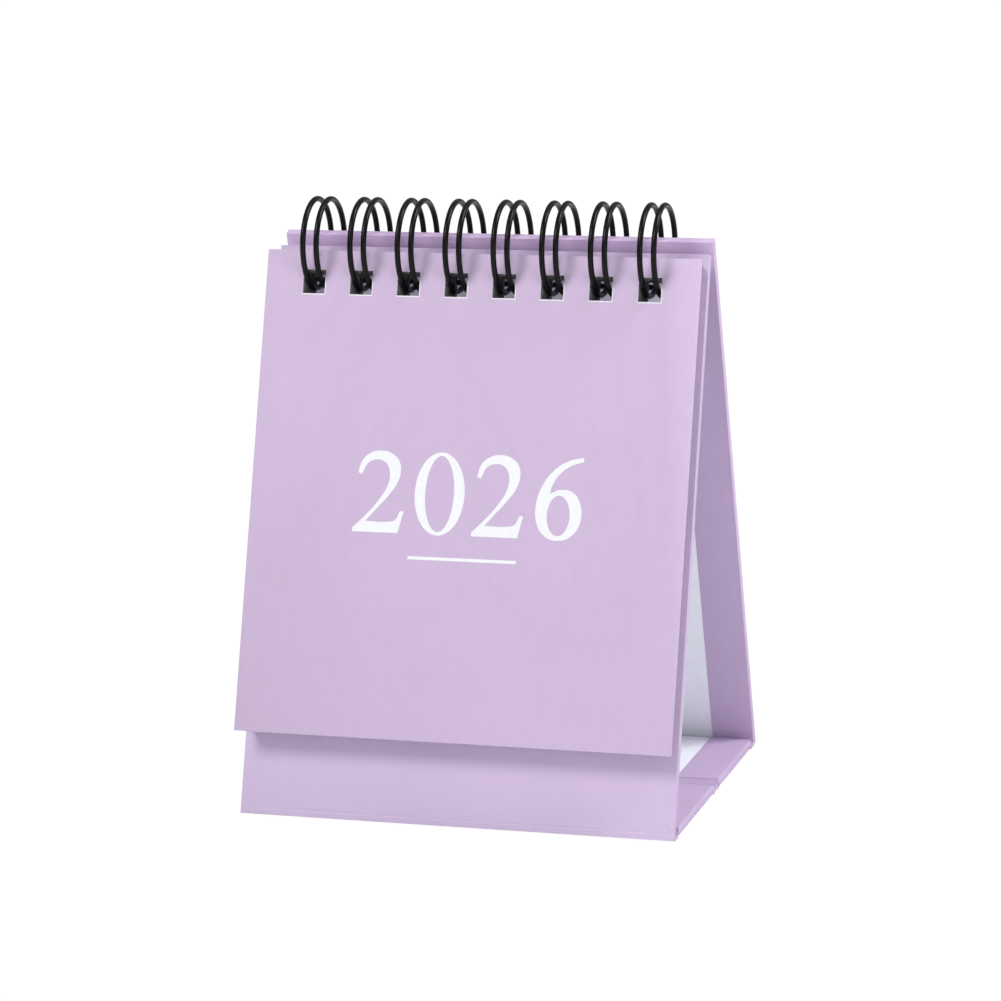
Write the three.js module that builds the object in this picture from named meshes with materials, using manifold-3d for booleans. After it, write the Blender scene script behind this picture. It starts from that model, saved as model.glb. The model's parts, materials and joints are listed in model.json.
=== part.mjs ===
// A small easel calendar: a paper-wrapped card tent, twin-loop wire and thirteen hanging leaves.
// Millimetres, +Z up, the leaves face -Y, the origin is under the middle of the tent's box.
import * as THREE from 'three';
import Module from 'manifold-3d';
import { mergeVertices } from 'three/addons/utils/BufferGeometryUtils.js';

const wasm = await Module();
wasm.setup();

// Wire binding
const wirePitch = 25.4 / 3;
const pairCount = 8;
const wireDiameter = 0.9;
const loopRadius = 7.7;
const loopSpacing = 2.4;
const cornerRadius = 0.8;
const linkAngle = THREE.MathUtils.degToRad(-62);
const tipToLink = THREE.MathUtils.degToRad(14);
const cutEnd = 2.6;
const loopSteps = 20;
const bendSteps = 3;
const hairpinSteps = 6;
const wireSides = 6;

// Leaves
const leafOverhang = 0.175;
const leafLength = 83;
const leafThickness = 0.28;
const leafGap = 0.14;
const monthCount = 12;
const coverStandOff = 3.4;
const leafHoleMargin = 5.4;

// Wrapped boards
const panelWidth = 76.25;
const frontLength = 98.6;
const frontTopDrop = 0.1;
const backTopDrop = 0.55;
const frontLean = THREE.MathUtils.degToRad(17.4);
const backLean = THREE.MathUtils.degToRad(17.7);
const boardThickness = 1.25;
const wrapThickness = 0.2;
const liningThickness = 0.15;
const turnIn = 12;
const liningInset = 7.5;
const liningFoot = 0.8;
const creaseGap = 3.4;
const creaseRise = THREE.MathUtils.degToRad(32);

// Clearances
const glueGap = 0.05;
const stackClearance = 0.4;
const holeClearance = 0.35;
const turnClearance = 0.35;
const hingeClearance = 0.35;
const paperGap = 0.3;
const cutOver = 1;

const paints = {
  lilacPaper: { color: 0xb4a8cf, roughness: 0.85, metalness: 0 },
  lilacCard: { color: 0xcfbfdc, roughness: 0.8, metalness: 0 },
  greyBoard: { color: 0x8f8b86, roughness: 0.95, metalness: 0 },
  liningPaper: { color: 0xdee2ec, roughness: 0.85, metalness: 0 },
  leafPaper: { color: 0xf2f2f4, roughness: 0.85, metalness: 0 },
  blackWire: { color: 0x0c0c0e, roughness: 0.25, metalness: 0.6 },
};

// Distances of each layer along the outward normals that pass through the loops' centre
const wireRadius = wireDiameter / 2;
const leafPitch = leafThickness + leafGap;
const coverOuter = coverStandOff + leafThickness;
const lastLeafInner = coverStandOff - monthCount * leafPitch;
const leafWidth = panelWidth + 2 * leafOverhang;
const wrappedThickness = boardThickness + 2 * (wrapThickness + glueGap);
const panelThickness = wrappedThickness + glueGap + liningThickness;
const frontOuter = lastLeafInner - stackClearance;
const frontInner = frontOuter - panelThickness;
const openAngle = frontLean + backLean;
const turnedReach = coverOuter + turnClearance - backTopDrop * Math.sin(openAngle);
const backInner = turnedReach / Math.cos(openAngle);
const backOuter = backInner + panelThickness;

// The loops' middle and the tent's feet
const ringHeight = (frontTopDrop + frontLength) * Math.cos(frontLean) - frontInner * Math.sin(frontLean);
const backFoot = (ringHeight + backInner * Math.sin(backLean)) / Math.cos(backLean);
const backLength = backFoot - backTopDrop;

// Where the round wire crosses a layer, as the least and greatest distance down its slope
function wireCrossing(normalDistance) {
  const along = Math.sqrt(loopRadius ** 2 - normalDistance ** 2);
  const spread = wireRadius * loopRadius / along;
  return { near: along - spread, far: along + spread };
}

function holeBetween(firstDistance, secondDistance) {
  const crossings = [wireCrossing(firstDistance), wireCrossing(secondDistance)];
  const near = Math.min(...crossings.map((c) => c.near));
  const far = Math.max(...crossings.map((c) => c.far));
  return { centre: (near + far) / 2, span: far - near };
}

const frontHole = holeBetween(frontOuter, frontInner);
const backHole = holeBetween(backOuter, backInner);
const leafHole = holeBetween(0, coverOuter);
const punchHeight = Math.max(frontHole.span, backHole.span, leafHole.span) + 2 * holeClearance;
const punchWidth = loopSpacing + wireDiameter + 2 * holeClearance;
const leafTop = leafHole.centre - leafHoleMargin;

// Reaches from the loops' middle, which put the origin under the middle of the box
const leafFoot = leafTop + leafLength;
const leafReach = leafFoot * Math.sin(frontLean) + coverOuter * Math.cos(frontLean);
const frontFoot = frontTopDrop + frontLength;
const frontReach = frontFoot * Math.sin(frontLean) + frontOuter * Math.cos(frontLean);
const backReach = backFoot * Math.sin(backLean) + backOuter * Math.cos(backLean);
const ringDepth = (Math.max(leafReach, frontReach) - backReach) / 2;

// Base panels lie between the feet, a fold's clearance from each inner face
const frontInnerFoot = ringDepth - frontFoot * Math.sin(frontLean) - frontInner * Math.cos(frontLean);
const backInnerFoot = ringDepth + backFoot * Math.sin(backLean) + backInner * Math.cos(backLean);

function hingeGap(lean) {
  const swing = Math.sin(creaseRise) + Math.tan(lean) * Math.cos(creaseRise);
  return panelThickness * swing + hingeClearance;
}

const frontHinge = frontInnerFoot + hingeGap(frontLean);
const backHinge = backInnerFoot - hingeGap(backLean);
const baseLength = (backHinge - frontHinge - creaseGap) / 2;

const pairPlaces = [];
for (let i = 0; i < pairCount; i++) pairPlaces.push((i - (pairCount - 1) / 2) * wirePitch);

function solidOf(geometry) {
  const bare = geometry.clone();
  bare.deleteAttribute('normal');
  bare.deleteAttribute('uv');
  const merged = mergeVertices(bare, 1e-5);
  return new wasm.Manifold(new wasm.Mesh({
    numProp: 3,
    vertProperties: Float32Array.from(merged.attributes.position.array),
    triVerts: Uint32Array.from(merged.index.array),
  }));
}

function geometryOf(solid) {
  const mesh = solid.getMesh();
  const geometry = new THREE.BufferGeometry();
  geometry.setAttribute('position', new THREE.BufferAttribute(new Float32Array(mesh.vertProperties), 3));
  geometry.setIndex(new THREE.BufferAttribute(new Uint32Array(mesh.triVerts), 1));
  geometry.computeVertexNormals();
  return geometry;
}

function block(x, y, z) {
  const geometry = new THREE.BoxGeometry(x[1] - x[0], y[1] - y[0], z[1] - z[0]);
  geometry.translate((x[0] + x[1]) / 2, (y[0] + y[1]) / 2, (z[0] + z[1]) / 2);
  return geometry;
}

// A profile in the panel's Y and Z, drawn out along its width
function across(points, halfWidth) {
  const outline = new THREE.Shape(points.map(([y, z]) => new THREE.Vector2(y, z)));
  const geometry = new THREE.ExtrudeGeometry(outline, { depth: 2 * halfWidth, bevelEnabled: false });
  geometry.translate(0, 0, -halfWidth);
  const turned = new THREE.Matrix4().makeBasis(
    new THREE.Vector3(0, 1, 0), new THREE.Vector3(0, 0, 1), new THREE.Vector3(1, 0, 0));
  return geometry.applyMatrix4(turned);
}

function punched(solid, holeY, depth) {
  let result = solid;
  for (const x of pairPlaces) {
    const hole = block(
      [x - punchWidth / 2, x + punchWidth / 2],
      [holeY - punchHeight / 2, holeY + punchHeight / 2],
      [-depth, cutOver]);
    result = result.subtract(solidOf(hole));
  }
  return result;
}

function named(name, geometry, paint) {
  const mesh = new THREE.Mesh(geometry, new THREE.MeshStandardMaterial(paint));
  mesh.name = name;
  return mesh;
}

// The paper runs under the foot of a leaning board and on to the base's fold line
function footTongue(lean) {
  const reach = hingeGap(lean) - paperGap;
  const inwards = (run, rise) => [
    run * Math.sin(lean) + rise * Math.cos(lean),
    -wrappedThickness - run * Math.cos(lean) + rise * Math.sin(lean),
  ];
  const rooted = -wrappedThickness + 2 * wrapThickness;
  const slit = wrapThickness * 0.9;
  return [[0, rooted], inwards(0, 0), inwards(reach, 0), inwards(reach, slit), [slit, rooted]];
}

// Wrapping paper: outside skin, edges and turn-ins, with the window that the lining covers
function wrapShape(length, leaning) {
  const half = panelWidth / 2;
  const pocketFoot = leaning ? wrapThickness : -cutOver;
  const pocketTop = leaning ? length - wrapThickness : length + cutOver;
  const windowTop = leaning ? length - turnIn : length + cutOver;
  const inner = -wrappedThickness;
  let wrap = solidOf(block([-half, half], [0, length], [inner, 0]));
  wrap = wrap.subtract(solidOf(block(
    [wrapThickness - half, half - wrapThickness],
    [pocketFoot, pocketTop],
    [inner + wrapThickness, -wrapThickness])));
  wrap = wrap.subtract(solidOf(block(
    [turnIn - half, half - turnIn],
    [pocketFoot, windowTop],
    [inner - cutOver, -wrapThickness])));
  return wrap;
}

function panel(name, length, lean, holeDown) {
  const leaning = lean > 0;
  const half = panelWidth / 2;
  const edge = wrapThickness + glueGap;
  const outerFace = -wrapThickness - glueGap;
  const liningOuter = -wrappedThickness - glueGap;
  const liningTop = leaning ? length - liningInset : length - liningFoot;
  let wrap = wrapShape(length, leaning);
  if (leaning) wrap = wrap.add(solidOf(across(footTongue(lean), half)));
  let board = solidOf(block(
    [edge - half, half - edge],
    [leaning ? edge : 0, leaning ? length - edge : length],
    [outerFace - boardThickness, outerFace]));
  let lining = solidOf(block(
    [liningInset - half, half - liningInset],
    [liningFoot, liningTop],
    [liningOuter - liningThickness, liningOuter]));
  if (leaning) {
    const holeY = length - holeDown;
    wrap = punched(wrap, holeY, panelThickness + cutOver);
    board = punched(board, holeY, panelThickness + cutOver);
    lining = punched(lining, holeY, panelThickness + cutOver);
  }
  const group = new THREE.Group();
  group.add(named(`${name}_board`, geometryOf(board), paints.greyBoard));
  group.add(named(`${name}_wrap`, geometryOf(wrap), paints.lilacPaper));
  group.add(named(`${name}_lining`, geometryOf(lining), paints.liningPaper));
  return group;
}

function leafGeometry() {
  const sheet = solidOf(block(
    [-leafWidth / 2, leafWidth / 2], [-leafFoot, -leafTop], [0, leafThickness]));
  return geometryOf(punched(sheet, -leafHole.centre, cutOver));
}

// The wire's middle line on the loops' cylinder, as places across and angles round it
function wireRoute() {
  const half = loopSpacing / 2;
  const cornerTurn = cornerRadius / loopRadius;
  const tipTurn = half / loopRadius;
  const tipStart = linkAngle + tipToLink + tipTurn - 2 * Math.PI;
  const loopStart = linkAngle - cornerTurn;
  const route = [[pairPlaces[0] - half - cornerRadius - cutEnd, linkAngle]];
  for (const x of pairPlaces) {
    for (let i = 0; i <= bendSteps; i++) {
      const turn = i / bendSteps * Math.PI / 2;
      route.push([x - half - cornerRadius * (1 - Math.sin(turn)),
        linkAngle - cornerTurn * (1 - Math.cos(turn))]);
    }
    for (let i = 1; i < loopSteps; i++) {
      route.push([x - half, loopStart + (tipStart - loopStart) * i / loopSteps]);
    }
    for (let i = 0; i <= hairpinSteps; i++) {
      const turn = i / hairpinSteps * Math.PI;
      route.push([x - half * Math.cos(turn), tipStart - tipTurn * Math.sin(turn)]);
    }
    for (let i = loopSteps - 1; i > 0; i--) {
      route.push([x + half, loopStart + (tipStart - loopStart) * i / loopSteps]);
    }
    for (let i = 0; i <= bendSteps; i++) {
      const turn = i / bendSteps * Math.PI / 2;
      route.push([x + half + cornerRadius * (1 - Math.cos(turn)),
        linkAngle - cornerTurn * (1 - Math.sin(turn))]);
    }
  }
  route.push([pairPlaces[pairCount - 1] + half + cornerRadius + cutEnd, linkAngle]);
  return route;
}

function wirePoints(route) {
  return route.map(([x, angle]) => ({
    place: new THREE.Vector3(x, loopRadius * Math.cos(angle), loopRadius * Math.sin(angle)),
    outward: new THREE.Vector3(0, Math.cos(angle), Math.sin(angle)),
  }));
}

// Least clear distance between stretches of the wire that aren't neighbours along it
function leastGap(points) {
  const run = [0];
  for (let i = 1; i < points.length; i++) {
    run.push(run[i - 1] + points[i].place.distanceTo(points[i - 1].place));
  }
  const apart = Math.PI * loopSpacing / 2;
  let least = Infinity;
  for (let i = 0; i < points.length; i++) {
    for (let j = i + 1; j < points.length; j++) {
      if (run[j] - run[i] <= apart) continue;
      least = Math.min(least, points[i].place.distanceTo(points[j].place));
    }
  }
  return least - wireDiameter;
}

function wireGeometry(points) {
  const positions = [];
  const triangles = [];
  points.forEach(({ place, outward }, i) => {
    const before = points[Math.max(i - 1, 0)].place;
    const after = points[Math.min(i + 1, points.length - 1)].place;
    const along = after.clone().sub(before).normalize();
    const side = along.clone().cross(outward).normalize();
    const up = side.clone().cross(along);
    for (let k = 0; k < wireSides; k++) {
      const turn = 2 * Math.PI * k / wireSides;
      const spot = place.clone()
        .addScaledVector(up, wireRadius * Math.cos(turn))
        .addScaledVector(side, wireRadius * Math.sin(turn));
      positions.push(spot.x, spot.y, spot.z);
    }
  });
  for (let i = 0; i + 1 < points.length; i++) {
    for (let k = 0; k < wireSides; k++) {
      const a = i * wireSides + k;
      const b = i * wireSides + (k + 1) % wireSides;
      triangles.push(a, b, a + wireSides, b, b + wireSides, a + wireSides);
    }
  }
  const last = (points.length - 1) * wireSides;
  for (let k = 1; k + 1 < wireSides; k++) {
    triangles.push(0, k + 1, k);
    triangles.push(last, last + k, last + k + 1);
  }
  const geometry = new THREE.BufferGeometry();
  geometry.setAttribute('position', new THREE.Float32BufferAttribute(positions, 3));
  geometry.setIndex(triangles);
  geometry.computeVertexNormals();
  return geometry;
}

const group = new THREE.Group();

// Leaning boards stand on their inner feet, and their outside faces look away from the tent
const front = panel('front', frontLength, frontLean, frontHole.centre - frontTopDrop);
front.rotation.set(Math.PI / 2 - frontLean, 0, 0);
front.position.set(0, frontInnerFoot - panelThickness * Math.cos(frontLean),
  panelThickness * Math.sin(frontLean));
group.add(front);

const back = panel('back', backLength, backLean, backHole.centre - backTopDrop);
back.rotation.set(Math.PI / 2 + backLean, Math.PI, 0);
back.position.set(0, backInnerFoot + panelThickness * Math.cos(backLean),
  panelThickness * Math.sin(backLean));
group.add(back);

const baseFront = panel('base_front', baseLength, 0, 0);
baseFront.rotation.set(0, Math.PI, 0);
baseFront.position.set(0, frontHinge, 0);
group.add(baseFront);

const baseRear = panel('base_rear', baseLength, 0, 0);
baseRear.rotation.set(Math.PI, 0, 0);
baseRear.position.set(0, backHinge, 0);
group.add(baseRear);

// The leaves hang from the loops, the cover outermost
const leaves = new THREE.Group();
leaves.position.set(0, ringDepth, ringHeight);
leaves.rotation.set(Math.PI / 2 - frontLean, 0, 0);
const cover = named('cover_leaf', leafGeometry(), paints.lilacCard);
cover.position.z = coverStandOff;
leaves.add(cover);
for (let month = 1; month <= monthCount; month++) {
  const leaf = named(`month_${String(month).padStart(2, '0')}`, leafGeometry(), paints.leafPaper);
  leaf.position.z = coverStandOff - month * leafPitch;
  leaves.add(leaf);
}
group.add(leaves);

const points = wirePoints(wireRoute());
const wire = named('wire_binding', wireGeometry(points), paints.blackWire);
wire.position.set(0, ringDepth, ringHeight);
group.add(wire);
console.log(`Least gap between turns of the wire: ${leastGap(points).toFixed(2)} mm`);

export default group;
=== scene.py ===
"""A small lilac easel calendar: the looks built round its packed construction model."""
import calendar
import json
import logging
import math
from dataclasses import dataclass, field
from enum import Enum
from typing import Callable, Iterable, Sequence

import bpy
from mathutils import Matrix, Vector

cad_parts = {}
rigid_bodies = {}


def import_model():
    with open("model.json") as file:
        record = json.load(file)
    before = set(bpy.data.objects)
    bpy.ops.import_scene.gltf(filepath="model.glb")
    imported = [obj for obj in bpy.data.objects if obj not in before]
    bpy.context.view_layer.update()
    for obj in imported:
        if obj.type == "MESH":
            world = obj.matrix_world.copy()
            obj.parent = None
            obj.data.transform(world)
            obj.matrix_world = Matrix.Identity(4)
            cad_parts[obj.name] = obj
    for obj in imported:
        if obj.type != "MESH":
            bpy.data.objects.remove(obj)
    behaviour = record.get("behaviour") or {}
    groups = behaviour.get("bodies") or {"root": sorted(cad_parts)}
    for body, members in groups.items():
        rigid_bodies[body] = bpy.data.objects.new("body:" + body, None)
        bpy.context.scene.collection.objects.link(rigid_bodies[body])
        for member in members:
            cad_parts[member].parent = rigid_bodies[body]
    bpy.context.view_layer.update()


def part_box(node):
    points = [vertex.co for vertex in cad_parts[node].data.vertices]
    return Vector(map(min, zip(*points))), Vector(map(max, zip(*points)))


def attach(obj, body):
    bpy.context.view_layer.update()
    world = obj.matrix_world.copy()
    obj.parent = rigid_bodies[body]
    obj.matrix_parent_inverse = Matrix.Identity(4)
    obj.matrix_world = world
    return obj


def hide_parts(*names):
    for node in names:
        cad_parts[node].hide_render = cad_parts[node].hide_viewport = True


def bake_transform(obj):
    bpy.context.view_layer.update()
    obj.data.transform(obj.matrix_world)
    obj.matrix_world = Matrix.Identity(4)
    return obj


LOG = logging.getLogger("desk_calendar")
MM = 0.001
MONTHS = 12
SHOWN_YEAR = 2026

# Places round the loops that the construction model fixes, in millimetres and degrees
WIRE_PITCH = 25.4 / 3
PAIR_COUNT = 8
WIRE_DIAMETER = 0.9
ENAMELLED_DIAMETER = 0.98
LOOP_RADIUS = 7.7
LOOP_SPACING = 2.4
CORNER_RADIUS = 0.8
CUT_END = 2.6
LINK_ANGLE = -62.0
TIP_TO_LINK = 14.0
FRONT_LEAN = 17.4
BACK_LEAN = 17.7
BASE_MIDDLE = 0.6477
LONG_EDGE = 15 * MM
OVAL_STEPS = 48
# The band where the wraps' hole walls are found for their painted shade, in metres.
HOLE_BAND = (85.2 * MM, 95 * MM)
HOLE_SPAN = 4.5 * MM
HOLE_REACH = 32 * MM


class Side(Enum):
    """The two leaning sides of the tent."""

    FRONT = "front"
    BACK = "back"


def srgb(red: float, green: float, blue: float) -> tuple[float, float, float, float]:
    """Turns a colour seen on screen into the linear values that a shader takes.

    Args:
        red: Red from 0 to 255.
        green: Green from 0 to 255.
        blue: Blue from 0 to 255.

    Returns:
        Linear red, green, blue and an alpha of 1.
    """
    def linear(value: float) -> float:
        """One channel's linear value."""
        share = value / 255
        return share / 12.92 if share <= 0.04045 else ((share + 0.055) / 1.055) ** 2.4
    return (linear(red), linear(green), linear(blue), 1.0)


class NodeSheet:
    """A material's node tree with short calls to add and link its nodes."""

    def __init__(self, name: str) -> None:
        """Starts an empty material with its shader and output.

        Args:
            name: The material's name.
        """
        self.material = bpy.data.materials.new(name)
        self.material.use_nodes = True
        self.tree = self.material.node_tree
        self.tree.nodes.clear()
        self.output = self.tree.nodes.new("ShaderNodeOutputMaterial")
        self.shader = self.tree.nodes.new("ShaderNodeBsdfPrincipled")
        self.link(self.shader, "BSDF", self.output, "Surface")
        self.place = self.tree.nodes.new("ShaderNodeTexCoord")

    def link(self, source: bpy.types.Node, out: str | int, target: bpy.types.Node, into: str | int) -> None:
        """Joins one node's output to another's input."""
        self.tree.links.new(source.outputs[out], target.inputs[into])

    def noise(self, scale: float, detail: float = 4.0, stretch: Sequence[float] = (1, 1, 1)) -> bpy.types.Node:
        """Adds a noise pattern on the object's own coordinates.

        Args:
            scale: Cycles in a metre.
            detail: Number of octaves.
            stretch: Scale along each axis, to draw fibres out.

        Returns:
            The noise node.
        """
        mapping = self.tree.nodes.new("ShaderNodeMapping")
        mapping.inputs["Scale"].default_value = stretch
        self.link(self.place, "Object", mapping, "Vector")
        noise = self.tree.nodes.new("ShaderNodeTexNoise")
        noise.inputs["Scale"].default_value = scale
        noise.inputs["Detail"].default_value = detail
        self.link(mapping, "Vector", noise, "Vector")
        return noise

    def between(self, source: bpy.types.Node, out: str, low: tuple, high: tuple,
                start: float = 0.35, stop: float = 0.65) -> bpy.types.Node:
        """Adds a ramp that turns a pattern into a colour between two.

        Args:
            source: The pattern's node.
            out: Its output's name.
            low: Colour at the pattern's low end.
            high: Colour at its high end.
            start: Where the low colour ends.
            stop: Where the high colour begins.

        Returns:
            The ramp node.
        """
        ramp = self.tree.nodes.new("ShaderNodeValToRGB")
        ramp.color_ramp.elements[0].position = start
        ramp.color_ramp.elements[0].color = low
        ramp.color_ramp.elements[1].position = stop
        ramp.color_ramp.elements[1].color = high
        self.link(source, out, ramp, "Fac")
        return ramp

    def bump(self, source: bpy.types.Node, out: str | int, height: float, strength: float,
             under: bpy.types.Node | None = None) -> bpy.types.Node:
        """Adds a bump made from a pattern, over an earlier one if there is one."""
        node = self.tree.nodes.new("ShaderNodeBump")
        node.inputs["Strength"].default_value = strength
        node.inputs["Distance"].default_value = height
        self.link(source, out, node, "Height")
        if under is not None:
            self.link(under, "Normal", node, "Normal")
        return node


    def calculate(self, operation: str, first: bpy.types.Node, second: bpy.types.Node | float) -> bpy.types.Node:
        """Adds a sum or product of one node with another or with a number."""
        node = self.tree.nodes.new("ShaderNodeMath")
        node.operation = operation
        self.tree.links.new(main_output(first), node.inputs[0])
        if isinstance(second, float):
            node.inputs[1].default_value = second
        else:
            self.tree.links.new(main_output(second), node.inputs[1])
        return node

    def near(self, source: bpy.types.Node, out: str, centre: float, reach: float) -> bpy.types.Node:
        """Adds a smooth hump: 1 where the source is at the centre, 0 from the reach outward."""
        gap = self.tree.nodes.new("ShaderNodeMath")
        gap.operation = "SUBTRACT"
        self.link(source, out, gap, 0)
        gap.inputs[1].default_value = centre
        size = self.calculate("ABSOLUTE", gap, 0.0)
        hump = self.tree.nodes.new("ShaderNodeMapRange")
        hump.interpolation_type = "SMOOTHSTEP"
        hump.inputs["From Min"].default_value = 0.0
        hump.inputs["From Max"].default_value = reach
        hump.inputs["To Min"].default_value = 1.0
        hump.inputs["To Max"].default_value = 0.0
        self.link(size, "Value", hump, "Value")
        return hump


def main_output(node: bpy.types.Node) -> bpy.types.NodeSocket:
    """A number node's output, under whichever name it has."""
    return node.outputs["Result"] if "Result" in node.outputs else node.outputs["Value"]


def tint(colour: tuple, factor: float) -> tuple:
    """A colour made lighter or darker by one factor."""
    return tuple(min(1.0, channel * factor) for channel in colour[:3]) + (1.0,)


@dataclass(frozen=True)
class PaperFinish:
    """Uncoated or matt-coated paper: fibres, cloudy tone and a fine tooth."""

    name: str
    colour: tuple
    roughness: float = 0.62
    specular: float = 0.32
    mottle: float = 0.03
    fibre: float = 0.02
    tooth: float = 0.25
    waviness: float = 0.10
    # A pressed line along the foot and wrinkles round one corner: bumps, lightened as painted highlight.
    foot_line: float = 0.0
    worn_corner: tuple[float, float, float] | None = None

    def creases(self, sheet: NodeSheet, colour: bpy.types.Node, under: bpy.types.Node) -> tuple:
        """Adds a pressed line along the foot and fine wrinkles round a creased corner, both lightened as painted
        highlight.

        Args:
            sheet: The material's node sheet.
            colour: The node that gives the paper's colour on its output 2.
            under: The bump that lies under the creases.

        Returns:
            The colour node and the bump node that take their place.
        """
        parts = sheet.tree.nodes.new("ShaderNodeSeparateXYZ")
        sheet.link(sheet.place, "Object", parts, "Vector")
        line = sheet.near(parts, "Z", self.foot_line, 0.28 * MM)
        away = sheet.tree.nodes.new("ShaderNodeVectorMath")
        away.operation = "DISTANCE"
        away.inputs[1].default_value = self.worn_corner
        sheet.link(sheet.place, "Object", away, 0)
        patch = sheet.near(away, "Value", 0.0, 4.0 * MM)
        ridges = sheet.tree.nodes.new("ShaderNodeTexWave")
        ridges.inputs["Scale"].default_value = 240
        ridges.inputs["Distortion"].default_value = 3.5
        ridges.inputs["Detail"].default_value = 2
        ridges.inputs["Detail Scale"].default_value = 1.2
        turned = sheet.tree.nodes.new("ShaderNodeMapping")
        turned.inputs["Rotation"].default_value = (0, math.radians(52), 0)
        sheet.link(sheet.place, "Object", turned, "Vector")
        sheet.link(turned, "Vector", ridges, "Vector")
        sharp = sheet.near(ridges, "Fac", 1.0, 0.2)
        wrinkle = sheet.calculate("MULTIPLY", patch, sharp)
        line = sheet.calculate("MULTIPLY", line, 0.4)
        height = sheet.calculate("SUBTRACT", wrinkle, line)
        # Painted highlight: the wrinkles and the pressed foot line are lightened towards 1.35 times the paper's
        # colour.
        wrinkle_highlight = sheet.tree.nodes.new("ShaderNodeMix")
        wrinkle_highlight.data_type = "RGBA"
        wrinkle_highlight.inputs[7].default_value = tint(self.colour, 1.35)
        share = sheet.calculate("MULTIPLY", sheet.calculate("MAXIMUM", wrinkle, line), 0.5)
        sheet.link(share, "Value", wrinkle_highlight, "Factor")
        sheet.link(colour, 2, wrinkle_highlight, 6)
        return wrinkle_highlight, sheet.bump(height, "Value", 0.25 * MM, 0.6, under)

    def build(self) -> bpy.types.Material:
        """Makes the material.

        Returns:
            The finished material.
        """
        sheet = NodeSheet(self.name)
        cloud = sheet.noise(45, 3)
        tone = sheet.between(cloud, "Fac", tint(self.colour, 1 - self.mottle), tint(self.colour, 1 + self.mottle))
        threads = sheet.noise(900, 5, (1, 0.35, 0.35))
        fleck = sheet.between(threads, "Fac", tint((1, 1, 1), 1 - self.fibre), (1, 1, 1, 1), 0.3, 0.6)
        mix = sheet.tree.nodes.new("ShaderNodeMix")
        mix.data_type = "RGBA"
        mix.blend_type = "MULTIPLY"
        mix.inputs["Factor"].default_value = 1.0
        sheet.link(tone, "Color", mix, 6)
        sheet.link(fleck, "Color", mix, 7)
        rough = sheet.tree.nodes.new("ShaderNodeMapRange")
        rough.inputs["To Min"].default_value = self.roughness - 0.06
        rough.inputs["To Max"].default_value = self.roughness + 0.08
        sheet.link(cloud, "Fac", rough, "Value")
        sheet.link(rough, "Result", sheet.shader, "Roughness")
        sheet.shader.inputs["Specular IOR Level"].default_value = self.specular
        broad = sheet.bump(sheet.noise(28, 2), "Fac", 0.8 * MM, self.waviness)
        tooth = sheet.bump(sheet.noise(2600, 3), "Fac", 0.05 * MM, self.tooth, broad)
        if self.worn_corner is not None:
            mix, tooth = self.creases(sheet, mix, tooth)
        sheet.link(mix, 2, sheet.shader, "Base Color")
        sheet.link(tooth, "Normal", sheet.shader, "Normal")
        return sheet.material


@dataclass(frozen=True)
class GreyboardFinish:
    """Pressed grey pulp board with coarse light and dark fibres."""

    name: str = "greyboard_pulp"
    colour: tuple = srgb(146, 141, 134)

    def build(self) -> bpy.types.Material:
        """Makes the material."""
        sheet = NodeSheet(self.name)
        pulp = sheet.noise(1400, 6, (1, 0.5, 2))
        tone = sheet.between(pulp, "Fac", tint(self.colour, 0.7), tint(self.colour, 1.25), 0.3, 0.7)
        sheet.link(tone, "Color", sheet.shader, "Base Color")
        sheet.shader.inputs["Roughness"].default_value = 0.95
        rough = sheet.bump(pulp, "Fac", 0.12 * MM, 0.5)
        sheet.link(rough, "Normal", sheet.shader, "Normal")
        return sheet.material


@dataclass(frozen=True)
class EnamelFinish:
    """Glossy black enamel on the wire, with faint orange peel and scuffed spots."""

    name: str = "black_enamel"
    colour: tuple = srgb(9, 8, 10)

    def build(self) -> bpy.types.Material:
        """Makes the material."""
        sheet = NodeSheet(self.name)
        scuff = sheet.noise(420, 5)
        tone = sheet.between(scuff, "Fac", self.colour, srgb(19, 17, 21), 0.55, 0.75)
        sheet.link(tone, "Color", sheet.shader, "Base Color")
        rough = sheet.tree.nodes.new("ShaderNodeMapRange")
        rough.inputs["To Min"].default_value = 0.22
        rough.inputs["To Max"].default_value = 0.4
        sheet.link(scuff, "Fac", rough, "Value")
        sheet.link(rough, "Result", sheet.shader, "Roughness")
        sheet.shader.inputs["Specular IOR Level"].default_value = 0.16
        peel = sheet.bump(sheet.noise(900, 2), "Fac", 0.02 * MM, 0.25)
        sheet.link(peel, "Normal", sheet.shader, "Normal")
        return sheet.material


@dataclass(frozen=True)
class InkFinish:
    """Flat printing ink, a little smoother than the paper under it."""

    name: str
    colour: tuple

    def build(self) -> bpy.types.Material:
        """Makes the material."""
        sheet = NodeSheet(self.name)
        cover = sheet.noise(1500, 4)
        tone = sheet.between(cover, "Fac", tint(self.colour, 0.96), self.colour, 0.3, 0.6)
        sheet.link(tone, "Color", sheet.shader, "Base Color")
        sheet.shader.inputs["Roughness"].default_value = 0.5
        tooth = sheet.bump(sheet.noise(2600, 3), "Fac", 0.03 * MM, 0.2)
        sheet.link(tooth, "Normal", sheet.shader, "Normal")
        return sheet.material


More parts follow.
